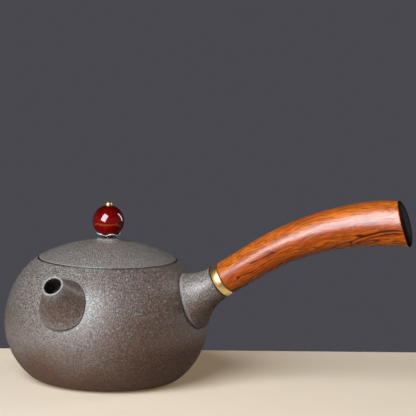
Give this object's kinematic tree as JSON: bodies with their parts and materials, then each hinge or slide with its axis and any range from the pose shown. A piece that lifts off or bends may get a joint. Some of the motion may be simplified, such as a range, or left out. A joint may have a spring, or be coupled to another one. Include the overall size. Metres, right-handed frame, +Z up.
{
  "type": "teapot",
  "caption": "Squat unglazed side-handled teapot with a short strainer spout, a curved wooden handle in a flared socket and a loose inset lid with a bead knob.",
  "frame": {"origin": "centre of the flat foot, on the axis of the pot", "axes": "+Z up; the spout points along -Y; the handle leaves the pot 4 degrees from +X, towards +Y"},
  "size_m": [0.203, 0.1094, 0.0985],
  "materials": {
    "stoneware": "rough unglazed, speckled",
    "brass": "polished",
    "rosewood": "oiled, satin",
    "dark_wood": "polished dark",
    "silver": "polished silver",
    "agate": "polished"
  },
  "bodies": {
    "pot": {"pot_body": "stoneware", "spout": "stoneware", "strainer": "stoneware", "handle_socket": "stoneware", "ferrule": "brass", "handle_grip": "rosewood", "handle_end_cap": "dark_wood"},
    "lid": {"lid": "stoneware", "petal_cap": "silver", "knob_bead": "agate", "knob_pin": "brass", "knob_washer": "brass", "knob_nut": "brass"}
  },
  "joints": [
    {"name": "lid_lift", "type": "slide", "parent": "pot", "child": "lid", "axis": [0, 0, 1], "range_m": [0, 0.06]}
  ]
}
